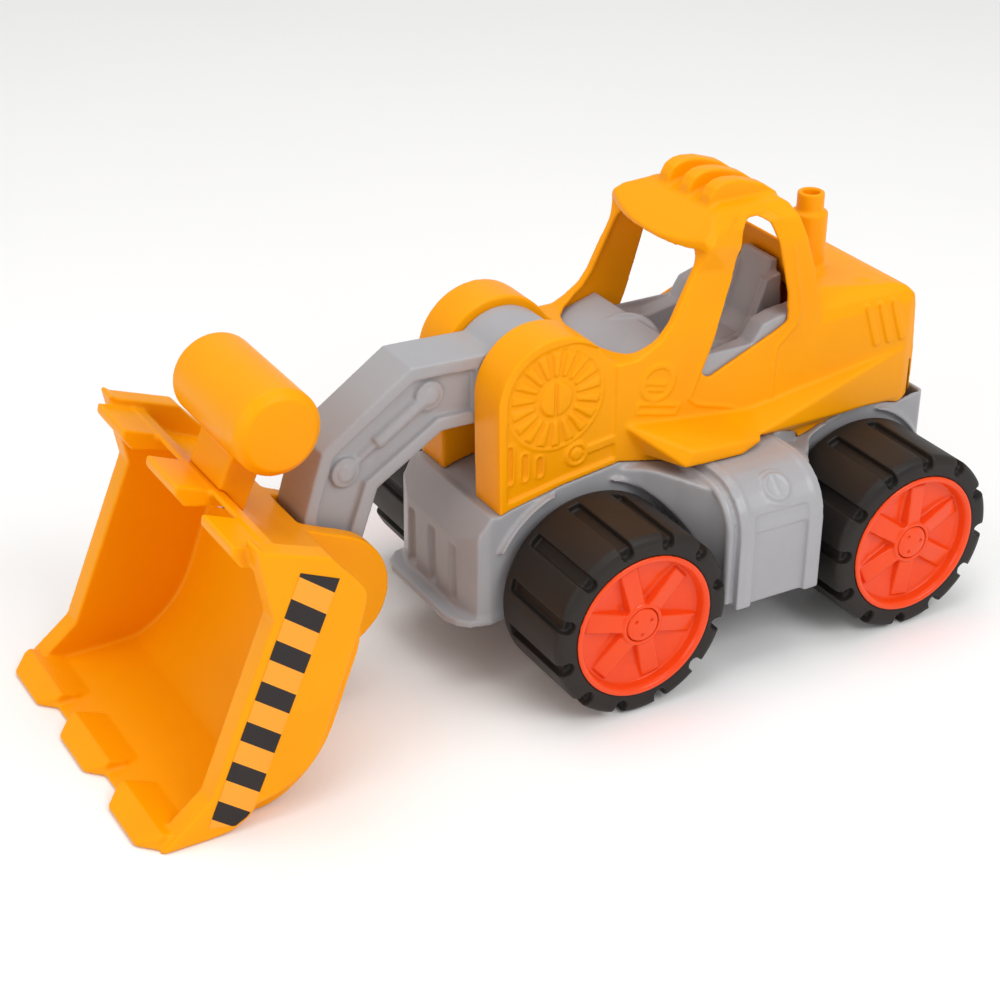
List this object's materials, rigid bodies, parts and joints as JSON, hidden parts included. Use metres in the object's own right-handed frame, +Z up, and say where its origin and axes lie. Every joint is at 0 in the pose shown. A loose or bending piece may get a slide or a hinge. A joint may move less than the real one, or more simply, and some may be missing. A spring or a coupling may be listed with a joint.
{
  "type": "toy wheel loader",
  "caption": "Toy front loader with a lifting arm, a tilting toothed bucket with a grip, an open cab and free-rolling wide wheels.",
  "frame": {"origin": "on the ground, at the centre of the whole toy's footprint box with the bucket resting on the ground", "axes": "+X forwards towards the bucket, +Y to the toy's left, +Z up"},
  "size_m": [0.584, 0.2484, 0.2874],
  "materials": {
    "yellow_plastic": "satin",
    "grey_plastic": "satin",
    "tyre_plastic": "matte",
    "red_plastic": "gloss",
    "steel": "satin",
    "label_vinyl": "gloss"
  },
  "bodies": {
    "vehicle": {"chassis": "grey_plastic", "body_shell": "yellow_plastic", "cab_interior": "grey_plastic", "arm_pivot_pin": "steel", "front_axle": "steel", "rear_axle": "steel", "axle_push_nuts": "steel", "body_screws": "steel", "interior_screws": "steel"},
    "arm": {"lift_arm": "grey_plastic"},
    "scoop": {"bucket": "yellow_plastic", "bucket_handle": "yellow_plastic", "bucket_pivot_pin": "steel", "handle_screws": "steel", "hazard_label_left": "label_vinyl", "hazard_label_right": "label_vinyl"},
    "front_left_wheel": {"front_left_tyre": "tyre_plastic", "front_left_rim": "red_plastic", "front_left_hub_cap": "red_plastic"},
    "front_right_wheel": {"front_right_tyre": "tyre_plastic", "front_right_rim": "red_plastic", "front_right_hub_cap": "red_plastic"},
    "rear_left_wheel": {"rear_left_tyre": "tyre_plastic", "rear_left_rim": "red_plastic", "rear_left_hub_cap": "red_plastic"},
    "rear_right_wheel": {"rear_right_tyre": "tyre_plastic", "rear_right_rim": "red_plastic", "rear_right_hub_cap": "red_plastic"}
  },
  "joints": [
    {"name": "arm_lift", "type": "hinge", "parent": "vehicle", "child": "arm", "pos_m": [-0.0045, 0, 0.1824], "axis": [0, -1, 0], "range_deg": [0, 60]},
    {"name": "bucket_tilt", "type": "hinge", "parent": "arm", "child": "scoop", "pos_m": [0.138, 0, 0.079], "axis": [0, 1, 0], "range_deg": [-4, 75]},
    {"name": "front_left_roll", "type": "hinge", "parent": "vehicle", "child": "front_left_wheel", "pos_m": [-0.024, 0.089, 0.06], "axis": [0, 1, 0], "continuous": true},
    {"name": "front_right_roll", "type": "hinge", "parent": "vehicle", "child": "front_right_wheel", "pos_m": [-0.024, -0.089, 0.06], "axis": [0, 1, 0], "continuous": true},
    {"name": "rear_left_roll", "type": "hinge", "parent": "vehicle", "child": "rear_left_wheel", "pos_m": [-0.228, 0.089, 0.06], "axis": [0, 1, 0], "continuous": true},
    {"name": "rear_right_roll", "type": "hinge", "parent": "vehicle", "child": "rear_right_wheel", "pos_m": [-0.228, -0.089, 0.06], "axis": [0, 1, 0], "continuous": true}
  ]
}
